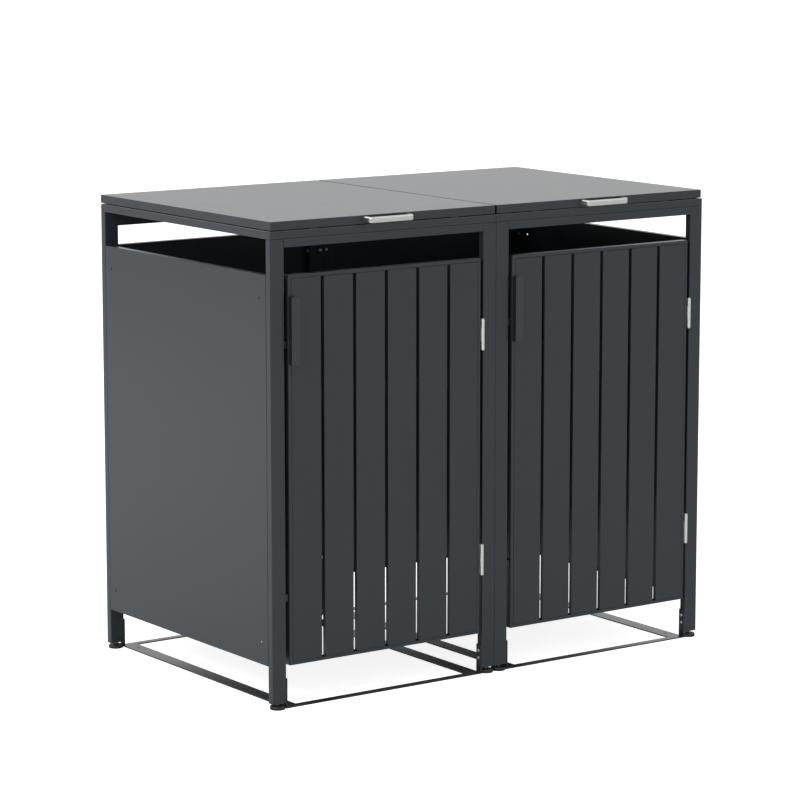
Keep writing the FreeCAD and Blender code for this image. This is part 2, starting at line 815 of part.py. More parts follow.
def make_lid_hinges(side):
    """Two hinges behind the lid, a leaf of each on the ring and on the lid. Returns their pins."""
    name = side + "_lid_hinge"
    fixed = []
    moving = []
    pins = []
    for x in ("lid_hinge_inset", "module_width - lid_hinge_inset - hinge_length"):
        start = (bay(side, x), LID_BACK, LID_BOTTOM + " - " + LEAF_START)
        fixed.append(leaf(name + "_ring_leaf", start, "x",
                          ("0", "-" + LID_OVERHANG, "-" + LEAF_START + " - leaf_length"),
                          ("0", "leaf_thickness", "leaf_length"),
                          ("0", "-" + LID_OVERHANG, "-" + LEAF_START),
                          ("0", "leaf_thickness", LEAF_START), True))
        moving.append(leaf(name + "_lid_leaf", start, "x",
                           ("0", "0", LEAF_START), ("0", "leaf_thickness", "leaf_length"),
                           ("0", "0", "0"), ("0", "leaf_thickness", LEAF_START), False))
        pins.append(pin(name + "_pin", start, "x"))
    keep(name + "_ring_leaves", group(name + "_ring_group", fixed))
    keep(name + "_lid_leaves", group(name + "_lid_group", moving))
    return pins


def door_axis(side):
    """The X and Y of the upright axis that a door turns on, in the gap beside its post."""
    return (bay(side, "module_width - post_width - door_gap / 2"), FRONT + " - " + LEAF_START)


def make_door_hinges(side):
    """Two hinges in the gap at the right of the door, a leaf of each on the post and on the door.

    Returns their pins.
    """
    name = side + "_door_hinge"
    half_gap = "door_gap / 2"
    fixed = []
    moving = []
    pins = []
    for low_end in (PANEL_TOP + " - door_hinge_inset - hinge_length",
                    "panel_bottom + door_hinge_inset"):
        start = door_axis(side) + (low_end,)
        fixed.append(leaf(name + "_post_leaf", start, "z",
                          (half_gap + " - leaf_thickness", LEAF_START, "0"),
                          ("leaf_thickness", "leaf_length", "0"),
                          (half_gap + " - leaf_thickness", "0", "0"),
                          ("leaf_thickness", LEAF_START, "0"), True))
        moving.append(leaf(name + "_door_leaf", start, "z",
                           ("-" + half_gap, LEAF_START, "0"),
                           ("leaf_thickness", "leaf_length", "0"),
                           ("-" + half_gap, "0", "0"),
                           ("leaf_thickness", LEAF_START, "0"), False))
        pins.append(pin(name + "_pin", start, "z"))
    keep(name + "_post_leaves", group(name + "_post_group", fixed))
    keep(name + "_door_leaves", group(name + "_door_group", moving))
    return pins


def make_hinges(side):
    """The hinges of the lid and the door; their pins are all alike."""
    pins = make_lid_hinges(side) + make_door_hinges(side)
    keep(side + "_hinge_pins", group(side + "_hinge_pin_group", pins))


def door_left(side):
    return bay(side, "post_width + door_gap")


def make_door_frame(side):
    """The door's rim: sheet folded to a channel on all four sides."""
    name = side + "_door_frame"
    corner = (door_left(side), DOOR_FRONT, "panel_bottom")
    body = padded(name + "_outside", rectangle(DOOR_WIDTH, "door_depth"), PANEL_HEIGHT, corner)
    rounded(body, name + "_folds", "fold_radius", lambda edge: True)
    through = block(name + "_through",
                    (door_left(side) + " + door_rim", DOOR_FRONT + " - door_depth",
                     "panel_bottom + door_rim"),
                    (DOOR_WIDTH + " - 2 * door_rim", "3 * door_depth",
                     PANEL_HEIGHT + " - 2 * door_rim"))
    hollow = block(name + "_channel",
                   (door_left(side) + " + sheet", DOOR_FRONT + " + sheet", "panel_bottom + sheet"),
                   (DOOR_WIDTH + " - 2 * sheet", "door_depth - 2 * sheet",
                    PANEL_HEIGHT + " - 2 * sheet"))
    keep(name, cut(name + "_rim", body, fuse(name + "_inside", [through, hollow])))


def make_slats(side):
    """Upright boards of folded sheet inside the rim, with a slot between each two."""
    name = side + "_door_slat"
    first = "(door_rim + slat_fit)"
    width = "((%s - 2 * %s - %d * slot_width) / %d)" % (DOOR_WIDTH, first, SLATS - 1, SLATS)
    inner_far = width + " - slat_sheet"
    points = (("0", "0"), (width, "0"), (width, "slat_depth"), (inner_far, "slat_depth"),
              (inner_far, "slat_sheet"), ("slat_sheet", "slat_sheet"), ("slat_sheet", "slat_depth"),
              ("0", "slat_depth"))
    slats = []
    for index in range(SLATS):
        x = door_left(side) + " + " + first + " + %d * (%s + slot_width)" % (index, width)
        board = padded(name, points, PANEL_HEIGHT + " - 2 * " + first,
                       (x, SLAT_FRONT, "panel_bottom + " + first))
        slats.append(rounded(board, name + "_folds", "fold_radius",
                             lambda edge: upright(edge) and edge.BoundBox.YMax < SAME))
    keep(name + "s", group(name + "_group", slats))


def make_crossbars(side):
    """Two flat bars across the back of the slats."""
    name = side + "_door_crossbar"
    bars = []
    for level in ("panel_bottom + crossbar_inset",
                  PANEL_TOP + " - crossbar_inset - crossbar_height"):
        bars.append(block(name, (door_left(side) + " + sheet",
                                 SLAT_FRONT + " + slat_depth", level),
                          (DOOR_WIDTH + " - 2 * sheet", "crossbar_thickness", "crossbar_height")))
    keep(name + "s", group(name + "_group", bars))


def make_pull(side):
    """An angle of sheet on the door's free edge, open towards the door for the fingers."""
    name = side + "_door_pull"
    points = (("0", "0"), ("pull_width", "0"), ("pull_width", "pull_thickness"),
              ("pull_thickness", "pull_thickness"), ("pull_thickness", "pull_reach"),
              ("0", "pull_reach"))
    corner = (door_left(side) + " + pull_inset", DOOR_FRONT + " - pull_reach",
              PANEL_TOP + " - pull_drop - pull_height")
    body = padded(name + "_angle", points, "pull_height", corner)

    def bend(edge):
        return upright(edge) and max(edge.BoundBox.XMax, edge.BoundBox.YMax) < SAME

    keep(name, rounded(body, name + "_bend", "fold_radius", bend))


def make_catches(side):
    """Magnetic catches on the post: a stop in the gap and a magnet behind the door's rim."""
    name = side + "_door_catch"
    stop_width = "door_gap - catch_side_gap"
    stop_depth = "(" + DOOR_BACK + " + catch_slack - " + FRONT + " - catch_front)"
    full_width = "door_gap + catch_overlap"
    full_depth = "(" + stop_depth + " + catch_magnet_depth)"
    points = (("0", "0"), (stop_width, "0"), (stop_width, stop_depth), (full_width, stop_depth),
              (full_width, full_depth), ("0", full_depth))
    catches = []
    for middle in ("panel_bottom + catch_inset", PANEL_TOP + " - catch_inset"):
        corner = (bay(side, "post_width"), FRONT + " + catch_front",
                  middle + " - catch_height / 2")
        catches.append(padded(name, points, "catch_height", corner))
    keep(name + "es", group(name + "_group", catches))


def make_bay(side):
    for face in FACES:
        make_frame(side, face)
    make_ring(side)
    make_ring_screws(side)
    make_side_panel(side)
    make_back_panel(side)
    make_panel_screws(side)
    make_floor_frame(side)
    make_floor_screws(side)
    make_post_plugs(side)
    for face in FACES:
        for end in SIDES:
            make_foot(side, face, end)
    make_lid(side)
    make_stiffeners(side)
    make_lid_handle(side)
    make_handle_screws(side)
    make_buffers(side)
    make_door_frame(side)
    make_slats(side)
    make_crossbars(side)
    make_pull(side)
    make_catches(side)
    make_hinges(side)


def check_model():
    """Stops if any feature failed or any sub-part is empty or broken."""
    for thing in doc.Objects:
        if "Invalid" in thing.State or "Error" in thing.State:
            raise ValueError(thing.Name + " has failed: " + ", ".join(thing.State))
    for node, thing in nodes.items():
        if thing.Shape.isNull() or not thing.Shape.isValid():
            raise ValueError(node + " has no sound shape")


def write_parts():
    os.makedirs("parts", exist_ok=True)
    for node, thing in nodes.items():
        thing.Shape.exportStep("parts/" + node + ".step")


fill_sheet()
for side in SIDES:
    make_bay(side)
make_links()
doc.recompute()
check_model()
write_parts()
print(len(nodes), "sub-parts,", sum(len(thing.Shape.Solids) for thing in nodes.values()), "solids")
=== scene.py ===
import json
import math

import bmesh
import bpy
from mathutils import Matrix, Vector


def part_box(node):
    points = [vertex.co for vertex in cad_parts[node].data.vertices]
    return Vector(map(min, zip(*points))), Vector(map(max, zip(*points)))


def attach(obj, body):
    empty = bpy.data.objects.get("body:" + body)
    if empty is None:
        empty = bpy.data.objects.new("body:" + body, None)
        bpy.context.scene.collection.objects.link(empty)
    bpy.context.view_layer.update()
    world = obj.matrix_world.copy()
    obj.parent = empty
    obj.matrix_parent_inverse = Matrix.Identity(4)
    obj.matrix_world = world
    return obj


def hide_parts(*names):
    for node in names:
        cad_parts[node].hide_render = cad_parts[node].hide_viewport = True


# The looks of a store for two wheelie bins, made of dark powder-coated sheet steel.
# Metres. X runs to the right along the front, Y from the doors to the back, Z up from the ground.

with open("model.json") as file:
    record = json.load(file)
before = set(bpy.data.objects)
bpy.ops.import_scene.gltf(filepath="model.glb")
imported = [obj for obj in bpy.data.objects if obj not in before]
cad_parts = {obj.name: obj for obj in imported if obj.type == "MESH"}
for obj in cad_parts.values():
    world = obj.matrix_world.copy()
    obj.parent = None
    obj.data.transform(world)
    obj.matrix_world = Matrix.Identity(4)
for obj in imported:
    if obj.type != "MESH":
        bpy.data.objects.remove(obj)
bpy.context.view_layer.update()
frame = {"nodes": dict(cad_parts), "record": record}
bpy.ops.object.select_all(action="DESELECT")

SIDES = ("left", "right")
FACES = ("front", "back")
MM = 0.001
UP = Vector((0.0, 0.0, 1.0))
FRONTWARD = Vector((0.0, -1.0, 0.0))
BACKWARD = Vector((0.0, 1.0, 0.0))

# colours, as they read where nothing is mirrored
ANTHRACITE = (0.0185, 0.0262, 0.0320)
DARKER_ANTHRACITE = (0.0165, 0.0235, 0.0290)
# the pulls' coat: the doors' anthracite darkened as painted shade, so that their shaded sides read
# dark
PULL_PAINTED_SHADE_ANTHRACITE = (0.0130, 0.0183, 0.0224)
DUST = (0.10, 0.105, 0.105)
SATIN_STEEL = (0.57, 0.565, 0.545)
HINGE_STEEL = (0.68, 0.72, 0.685)
ZINC = (0.55, 0.57, 0.59)
DARK_ZINC = (0.035, 0.037, 0.040)
BLACK = (0.010, 0.010, 0.011)

# how fine the patterns of the finishes are, in marks to a metre
COAT_PATCHES = 2.3
COAT_DRIFT = 14.0
COAT_PEBBLES = 900.0
METAL_SMUDGES = 45.0
PLASTIC_GRAIN = 1500.0
PLASTIC_FLOW = 60.0
BRUSHED_ALONG_X = (30.0, 900.0, 900.0)
BRUSHED_ALONG_Z = (900.0, 900.0, 30.0)
GROUND_ALONG_X = (40.0, 900.0, 900.0)
TUMBLED = (400.0, 400.0, 400.0)

# the values between which most of a noise pattern lies
NOISE_LOW = 0.3
NOISE_HIGH = 0.7

# how far the skin of each finish rises and falls
PEBBLE_HEIGHT = 0.010 * MM
SCRATCH_HEIGHT = 0.02 * MM
GRAIN_HEIGHT = 0.04 * MM

# how far two measures or directions may differ and still count as the same
NEAR = 0.01 * MM
NEAR_RIM = 0.05 * MM
SAME_WAY = 0.99
FOLD_ANGLE = math.radians(60)
SMOOTH_ANGLE = math.radians(35)


def add(tree, kind, **settings):
    """A new shader node with the given settings."""
    node = tree.nodes.new(kind)
    for key, value in settings.items():
        setattr(node, key, value)
    return node


def feed(tree, value, socket):
    """Links an output to a socket, or writes a plain value there."""
    if isinstance(value, bpy.types.NodeSocket):
        tree.links.new(value, socket)
    elif isinstance(value, tuple) and socket.type == "RGBA":
        socket.default_value = (*value, 1.0)
    else:
        socket.default_value = value


def object_place(tree):
    """The place on a piece, in metres of the shared frame."""
    return add(tree, "ShaderNodeTexCoord").outputs["Object"]


def noise(tree, place, scale, detail=2.0, roughness=0.5):
    node = add(tree, "ShaderNodeTexNoise")
    feed(tree, place, node.inputs["Vector"])
    feed(tree, scale, node.inputs["Scale"])
    feed(tree, detail, node.inputs["Detail"])
    feed(tree, roughness, node.inputs["Roughness"])
    return node.outputs["Fac"]


def spread(tree, value, low, high, to_low=0.0, to_high=1.0):
    """Stretches the values from low to high over to_low to to_high, and keeps them in there."""
    node = add(tree, "ShaderNodeMapRange", clamp=True)
    feed(tree, value, node.inputs["Value"])
    feed(tree, low, node.inputs["From Min"])
    feed(tree, high, node.inputs["From Max"])
    feed(tree, to_low, node.inputs["To Min"])
    feed(tree, to_high, node.inputs["To Max"])
    return node.outputs["Result"]


def reckon(tree, operation, first, second):
    node = add(tree, "ShaderNodeMath", operation=operation)
    feed(tree, first, node.inputs[0])
    feed(tree, second, node.inputs[1])
    return node.outputs["Value"]


def mixed(tree, share, first, second):
    node = add(tree, "ShaderNodeMix", data_type="RGBA")
    feed(tree, share, node.inputs["Factor"])
    feed(tree, first, node.inputs["A"])
    feed(tree, second, node.inputs["B"])
    return node.outputs["Result"]


def shaded(tree, colour, value):
    """The colour, made lighter or darker by a value near one."""
    node = add(tree, "ShaderNodeHueSaturation")
    feed(tree, colour, node.inputs["Color"])
    feed(tree, value, node.inputs["Value"])
    return node.outputs["Color"]


def bumped(tree, height, distance):
    node = add(tree, "ShaderNodeBump")
    feed(tree, height, node.inputs["Height"])
    feed(tree, distance, node.inputs["Distance"])
    return node.outputs["Normal"]


def finish_group(name, *own_inputs):
    """A group with a colour, a roughness and its own inputs, that puts out a finish."""
    tree = bpy.data.node_groups.new(name, "ShaderNodeTree")
    inputs = [("Colour", "NodeSocketColor", (0.5, 0.5, 0.5, 1.0)),
              ("Roughness", "NodeSocketFloat", 0.5), *own_inputs]
    for label, kind, value in inputs:
        socket = tree.interface.new_socket(name=label, in_out="INPUT", socket_type=kind)
        socket.default_value = value
    for label, kind in (("Colour", "NodeSocketColor"), ("Roughness", "NodeSocketFloat"),
                        ("Normal", "NodeSocketVector")):
        tree.interface.new_socket(name=label, in_out="OUTPUT", socket_type=kind)
    return tree, add(tree, "NodeGroupInput").outputs, add(tree, "NodeGroupOutput").inputs


def make_coat_group():
    """Powder coat: a fine pebbled skin, patches a shade lighter or darker, and a little dust."""
    tree, given, out = finish_group("powder coat skin",
                                    ("Pebble height", "NodeSocketFloat", PEBBLE_HEIGHT),
                                    ("Dust", "NodeSocketFloat", 0.05))
    place = object_place(tree)
    patches = noise(tree, place, COAT_PATCHES, detail=3.0)
    drift = noise(tree, place, COAT_DRIFT, detail=6.0, roughness=0.7)
    pebbles = noise(tree, place, COAT_PEBBLES, detail=1.0)
    shade = spread(tree, patches, NOISE_LOW, NOISE_HIGH, to_low=0.98, to_high=1.02)
    clean = shaded(tree, given["Colour"], shade)
    settled = reckon(tree, "MULTIPLY", spread(tree, drift, low=0.45, high=0.8), given["Dust"])
    feed(tree, mixed(tree, settled, clean, DUST), out["Colour"])
    uneven = spread(tree, drift, NOISE_LOW, NOISE_HIGH, to_low=-0.008, to_high=0.008)
    feed(tree, reckon(tree, "ADD", given["Roughness"], uneven), out["Roughness"])
    feed(tree, bumped(tree, pebbles, given["Pebble height"]), out["Normal"])
    return tree


def make_brushed_group():
    """Brushed metal: fine scratches that run along the axis with the low number, and smudges."""
    tree, given, out = finish_group("brushed metal",
                                    ("Across", "NodeSocketVector", BRUSHED_ALONG_X))
    place = object_place(tree)
    stretched = add(tree, "ShaderNodeVectorMath", operation="MULTIPLY")
    feed(tree, place, stretched.inputs[0])
    feed(tree, given["Across"], stretched.inputs[1])
    lines = noise(tree, stretched.outputs["Vector"], 1.0, detail=3.0, roughness=0.6)
    smudges = noise(tree, place, METAL_SMUDGES, detail=4.0)
    shade = spread(tree, lines, NOISE_LOW, NOISE_HIGH, to_low=0.93, to_high=1.05)
    feed(tree, shaded(tree, given["Colour"], shade), out["Colour"])
    uneven = spread(tree, smudges, low=0.35, high=0.7, to_low=-0.04, to_high=0.06)
    feed(tree, reckon(tree, "ADD", given["Roughness"], uneven), out["Roughness"])
    feed(tree, bumped(tree, lines, SCRATCH_HEIGHT), out["Normal"])
    return tree


def make_moulded_group():
    """Moulded plastic or rubber: an even fine grain and faint flow marks."""
    tree, given, out = finish_group("moulded grain",
                                    ("Grain height", "NodeSocketFloat", GRAIN_HEIGHT))
    place = object_place(tree)
    grain = noise(tree, place, PLASTIC_GRAIN, detail=1.0)
    flow = noise(tree, place, PLASTIC_FLOW, detail=3.0)
    shade = spread(tree, flow, NOISE_LOW, NOISE_HIGH, to_low=0.85, to_high=1.2)
    feed(tree, shaded(tree, given["Colour"], shade), out["Colour"])
    uneven = spread(tree, flow, NOISE_LOW, NOISE_HIGH, to_low=-0.05, to_high=0.05)
    feed(tree, reckon(tree, "ADD", given["Roughness"], uneven), out["Roughness"])
    feed(tree, bumped(tree, grain, given["Grain height"]), out["Normal"])
    return tree


COAT = make_coat_group()
BRUSHED = make_brushed_group()
MOULDED = make_moulded_group()


def finished(name, group, metallic=0.0, **values):
    """A material whose colour, roughness and normal come from a group with these values."""
    material = bpy.data.materials.new(name)
    material.use_nodes = True
    tree = material.node_tree
    shader = tree.nodes["Principled BSDF"]
    shader.inputs["Metallic"].default_value = metallic
    node = add(tree, "ShaderNodeGroup", node_tree=group)
    for label, value in values.items():
        feed(tree, value, node.inputs[label.replace("_", " ").capitalize()])
    feed(tree, node.outputs["Colour"], shader.inputs["Base Color"])
    feed(tree, node.outputs["Roughness"], shader.inputs["Roughness"])
    feed(tree, node.outputs["Normal"], shader.inputs["Normal"])
    material.diffuse_color = (*values["colour"], 1.0)
    return material


def coated(name, colour=ANTHRACITE, roughness=0.30, dust=0.015, gloss=0.5):
    """Powder coat, whose gloss is the same all over."""
    material = finished(name, COAT, colour=colour, roughness=roughness, dust=dust)
    shader = material.node_tree.nodes["Principled BSDF"]
    shader.inputs["Specular IOR Level"].default_value = gloss
    return material


zinc_plate = finished("zinc plate", BRUSHED, 1.0, colour=ZINC, roughness=0.34, across=TUMBLED)
foot_plastic = finished("black foot plastic", MOULDED, colour=BLACK, roughness=0.45)
black_zinc = finished("blackened zinc of the ring screws", BRUSHED, 1.0, colour=DARK_ZINC,
                      roughness=0.45, across=TUMBLED)
pole_steel = finished("steel of the catch poles", BRUSHED, 1.0, colour=ZINC, roughness=0.30,
                      across=GROUND_ALONG_X)

FINISHES = {
    "frame_coat": coated("coat of the frames"),
    "ring_coat": coated("coat of the rings"),
    "panel_coat": coated("coat of the panels"),
    "lid_coat": coated("coat of the lids", roughness=0.29, dust=0.008),
    "door_coat": coated("coat of the door rims"),
    "slat_coat": coated("coat of the slats"),
    # the pulls' darker coat colour is painted shade on their shaded sides
    "pull_coat": coated("coat of the pulls, darkened as painted shade", PULL_PAINTED_SHADE_ANTHRACITE, gloss=0.65),
    "floor_coat": coated("coat of the floor bars", DARKER_ANTHRACITE, roughness=0.27, dust=0.12),
    "handle_steel": finished("satin steel of the lid handles", BRUSHED, 1.0, colour=SATIN_STEEL,
                             roughness=0.36, across=BRUSHED_ALONG_X),
    "hinge_steel": finished("brushed steel of the hinges", BRUSHED, 1.0, colour=HINGE_STEEL,
                            roughness=0.42, across=BRUSHED_ALONG_Z),
    "zinc_screw": zinc_plate,
    "foot_plastic": foot_plastic,
    "black_plastic": finished("black plastic of the plugs", MOULDED, colour=BLACK,
                              roughness=0.5),
    "catch_plastic": finished("black plastic of the catches", MOULDED, colour=BLACK,
                              roughness=0.42),
    "rubber": finished("rubber of the lid pads", MOULDED, colour=BLACK, roughness=0.75),
}

slot_of = {part["node"]: part["material_slot"] for part in frame["record"]["subparts"]}
body_of = {node: body for body, nodes in frame["record"]["behaviour"]["bodies"].items()
           for node in nodes}

for name, node in frame["nodes"].items():
    for place in node.material_slots:
        place.material = FINISHES[slot_of[name]]


def edit(piece):
    """Selects one piece alone and opens it for editing by faces."""
    bpy.ops.object.select_all(action="DESELECT")
    piece.select_set(True)
    bpy.context.view_layer.objects.active = piece
    bpy.ops.object.mode_set(mode="EDIT")
    bpy.ops.mesh.select_mode(type="FACE")


def close():
    bpy.ops.object.mode_set(mode="OBJECT")


def pick(piece, wanted, kind="FACE"):
    """In edit mode, selects only the faces or edges that wanted accepts."""
    bpy.ops.mesh.select_mode(type=kind)
    mesh = bmesh.from_edit_mesh(piece.data)
    for part in (*mesh.verts, *mesh.edges, *mesh.faces):
        part.select = False
    for part in mesh.faces if kind == "FACE" else mesh.edges:
        if wanted(part):
            part.select = True
    mesh.select_flush_mode()
    bmesh.update_edit_mesh(piece.data)


def draw_out(x, y, z):
    bpy.ops.mesh.extrude_region_move(TRANSFORM_OT_translate={"value": (x, y, z)})


def resize(x, y, z, about):
    bpy.ops.transform.resize(value=(x, y, z), center_override=about)


def facing(direction):
    return lambda face: face.normal.dot(direction) > SAME_WAY


def upright(edge):
    return abs((edge.verts[0].co - edge.verts[1].co).normalized().z) > SAME_WAY


def folded(edge):
    return edge.calc_face_angle(0.0) > FOLD_ANGLE


def rim_at(height, radius):
    """Accepts the edges of a rim of this radius at this height."""
    def wanted(edge):
        return all(abs(corner.co.z - height) < NEAR
                   and abs(corner.co.xy.length - radius) < NEAR_RIM for corner in edge.verts)
    return wanted


def apply_modifiers(piece):
    bpy.ops.object.select_all(action="DESELECT")
    piece.select_set(True)
    bpy.context.view_layer.objects.active = piece
    for modifier in list(piece.modifiers):
        bpy.ops.object.modifier_apply(modifier=modifier.name)


def settle(piece):
    """Puts the piece's place into its mesh."""
    bpy.ops.object.select_all(action="DESELECT")
    piece.select_set(True)
    bpy.context.view_layer.objects.active = piece
    bpy.ops.object.transform_apply(location=True, rotation=True, scale=True)


def smooth(piece):
    """Smooths the faces that meet at a low angle, and keeps the large faces looking flat."""
    settle(piece)
    bpy.ops.object.shade_smooth_by_angle(angle=SMOOTH_ANGLE)
    piece.modifiers.new("flat faces", "WEIGHTED_NORMAL").keep_sharp = True
    apply_modifiers(piece)


def block(low, high):
    """A block between two corners, to start a piece from."""
    low, high = Vector(low), Vector(high)
    bpy.ops.mesh.primitive_cube_add(size=1.0, location=(low + high) / 2, scale=high - low)
    piece = bpy.context.object
    settle(piece)
    return piece


def copied(piece, turn):
    """A copy with its own mesh, moved and turned by a matrix."""
    twin = bpy.data.objects.new(piece.name, piece.data.copy())
    bpy.context.scene.collection.objects.link(twin)
    twin.data.transform(turn)
    return twin


def joined(name, pieces):
    bpy.ops.object.select_all(action="DESELECT")
    for piece in pieces:
        piece.select_set(True)
    bpy.context.view_layer.objects.active = pieces[0]
    if len(pieces) > 1:
        bpy.ops.object.join()
    whole = bpy.context.view_layer.objects.active
    whole.name = name
    whole.data.name = name
    return whole


def discard(piece):
    bpy.data.objects.remove(piece, do_unlink=True)


def dress(piece, material, slot, body, *nodes):
    """Gives a piece its material, its body and the nodes that it stands for."""
    piece.data.materials.clear()
    piece.data.materials.append(material)
    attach(piece, body)
    if nodes:
        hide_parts(*nodes)


def box_of(corners):
    return (Vector([min(corner[axis] for corner in corners) for axis in range(3)]),
            Vector([max(corner[axis] for corner in corners) for axis in range(3)]))


def separate_solids(node):
    """The corners of each separate solid of a CAD node."""
    work = bmesh.new()
    work.from_mesh(frame["nodes"][node].data)
    bmesh.ops.remove_doubles(work, verts=work.verts, dist=NEAR)
    waiting = set(work.verts)
    solids = []
    for first in work.verts:
        if first not in waiting:
            continue
        waiting.remove(first)
        reached = [first]
        for corner in reached:
            for edge in corner.link_edges:
                other = edge.other_vert(corner)
                if other in waiting:
                    waiting.remove(other)
                    reached.append(other)
        solids.append([corner.co.copy() for corner in reached])
    work.free()
    return solids


HEAD_RADIUS = 4.5 * MM
HEAD_HEIGHT = 2.5 * MM
SHANK_RADIUS = 1.9 * MM
SOCKET_RADIUS = 1.7 * MM
SOCKET_DEPTH = 1.5 * MM
CUTTER_HEIGHT = 4.0 * MM
TIP_HEIGHT = 1.0 * MM
TIP_SHARE = 0.6
SCREW_SIDES = 24
DOME_ROUNDING = 1.3 * MM
SEAT_ROUNDING = 0.2 * MM
HEAD_FROM = 1.5 * SHANK_RADIUS
TURN_BETWEEN_SCREWS = math.radians(37.0)


def model_screw(length):
    """A low domed screw with a hexagon socket. Its seat is at the origin and its head is up."""
    bpy.ops.mesh.primitive_cylinder_add(vertices=SCREW_SIDES, radius=HEAD_RADIUS,
                                        depth=HEAD_HEIGHT,
                                        location=(0.0, 0.0, HEAD_HEIGHT / 2))
    screw = bpy.context.object
    settle(screw)
    edit(screw)
    pick(screw, facing(-UP))
    bpy.ops.mesh.inset(thickness=HEAD_RADIUS - SHANK_RADIUS)
    draw_out(0.0, 0.0, TIP_HEIGHT - length)
    draw_out(0.0, 0.0, -TIP_HEIGHT)
    resize(TIP_SHARE, TIP_SHARE, 1.0, (0.0, 0.0, -length))
    pick(screw, rim_at(HEAD_HEIGHT, HEAD_RADIUS), "EDGE")
    bpy.ops.mesh.bevel(offset=DOME_ROUNDING, segments=4, affect="EDGES")
    pick(screw, rim_at(0.0, HEAD_RADIUS), "EDGE")
    bpy.ops.mesh.bevel(offset=SEAT_ROUNDING, segments=1, affect="EDGES")
    close()
    bpy.ops.mesh.primitive_cylinder_add(
        vertices=6, radius=SOCKET_RADIUS, depth=CUTTER_HEIGHT,
        location=(0.0, 0.0, HEAD_HEIGHT - SOCKET_DEPTH + CUTTER_HEIGHT / 2))
    cutter = bpy.context.object
    socket = screw.modifiers.new("socket", "BOOLEAN")
    socket.object = cutter
    socket.operation = "DIFFERENCE"
    apply_modifiers(screw)
    discard(cutter)
    smooth(screw)
    return screw


def screw_places(node):
    """The seat, the direction of the head and the length of the shank of each screw.

    A screw lies along the side that differs most from the middle one of its three sizes, and its
    head is the end with the corners that stand further out than the shank.
    """
    places = []
    for corners in separate_solids(node):
        low, high = box_of(corners)
        size = high - low
        middle = (low + high) / 2
        along = max(range(3), key=lambda axis: abs(size[axis] - sorted(size)[1]))
        line = Vector([float(axis == along) for axis in range(3)])

        def away(corner):
            offset = corner - middle
            return (offset - line * offset.dot(line)).length

        head = [corner[along] for corner in corners if away(corner) > HEAD_FROM]
        seat = middle.copy()
        if sum(head) / len(head) > middle[along]:
            seat[along] = min(head)
            places.append((seat, line, seat[along] - low[along]))
        else:
            seat[along] = max(head)
            places.append((seat, -line, high[along] - seat[along]))
    return places


def make_screws(node, material=zinc_plate):
    """All screws of a node as one piece, each turned a little further than the one before."""
    screws = []
    masters = {}
    for count, (seat, direction, length) in enumerate(screw_places(node)):
        key = round(length / MM, 1)
        if key not in masters:
            masters[key] = model_screw(length)
        turn = (Matrix.Translation(seat) @ UP.rotation_difference(direction).to_matrix().to_4x4()
                @ Matrix.Rotation(TURN_BETWEEN_SCREWS * count, 4, "Z"))
        screws.append(copied(masters[key], turn))
    for master in masters.values():
        discard(master)
    piece = joined(node + "_detailed", screws)
    dress(piece, material, "zinc_screw", body_of[node], node)


FOOT_RADIUS = 19.0 * MM
FOOT_THICKNESS = 9.0 * MM
FOOT_SIDES = 48
FOOT_TOP_ROUNDING = 2.6 * MM
FOOT_SOLE_ROUNDING = 0.8 * MM
GROOVE_SPACING = 4
GROOVE_INSET = 0.25 * MM
GROOVE_DEPTH = 0.7 * MM
DISH_BORDER = 4.0 * MM
DISH_WIDTH = 2.5 * MM
DISH_DEPTH = 0.6 * MM
COLLAR_RADIUS = 6.5 * MM
COLLAR_HEIGHT = 2.5 * MM
COLLAR_ROUNDING = 0.4 * MM
STEM_RADIUS = 4.0 * MM
STEM_SIDES = 24
STEM_TOP = 45.0 * MM
THREAD_TURNS = 8
THREAD_PITCH = 1.25 * MM
THREAD_ROOT = 0.82


def model_foot_disc():
    """The moulded disc: a rounded top, grooves round it for the fingers, and a hexagon on it."""
    bpy.ops.mesh.primitive_cylinder_add(vertices=FOOT_SIDES, radius=FOOT_RADIUS,
                                        depth=FOOT_THICKNESS,
                                        location=(0.0, 0.0, FOOT_THICKNESS / 2))
    disc = bpy.context.object
    settle(disc)
    edit(disc)
    pick(disc, rim_at(FOOT_THICKNESS, FOOT_RADIUS), "EDGE")
    bpy.ops.mesh.bevel(offset=FOOT_TOP_ROUNDING, segments=4, affect="EDGES")
    pick(disc, rim_at(0.0, FOOT_RADIUS), "EDGE")
    bpy.ops.mesh.bevel(offset=FOOT_SOLE_ROUNDING, segments=2, affect="EDGES")

    def groove(face):
        place = face.calc_center_median()
        turn = math.atan2(place.y, place.x) * FOOT_SIDES / math.tau
        return abs(face.normal.z) < 0.05 and math.floor(turn) % GROOVE_SPACING == 0

    pick(disc, groove)
    bpy.ops.mesh.inset(thickness=GROOVE_INSET)
    bpy.ops.transform.shrink_fatten(value=-GROOVE_DEPTH)
    pick(disc, facing(UP))
    bpy.ops.mesh.inset(thickness=DISH_BORDER)
    draw_out(0.0, 0.0, -DISH_DEPTH)
    bpy.ops.mesh.inset(thickness=DISH_WIDTH)
    draw_out(0.0, 0.0, DISH_DEPTH)
    close()
    bpy.ops.mesh.primitive_cylinder_add(vertices=6, radius=COLLAR_RADIUS, depth=COLLAR_HEIGHT,
                                        location=(0.0, 0.0, FOOT_THICKNESS + COLLAR_HEIGHT / 2))
    collar = bpy.context.object
    settle(collar)
    edit(collar)
    pick(collar, rim_at(FOOT_THICKNESS + COLLAR_HEIGHT, COLLAR_RADIUS), "EDGE")
    bpy.ops.mesh.bevel(offset=COLLAR_ROUNDING, segments=2, affect="EDGES")
    close()
    whole = joined("foot_disc", [disc, collar])
    smooth(whole)
    return whole


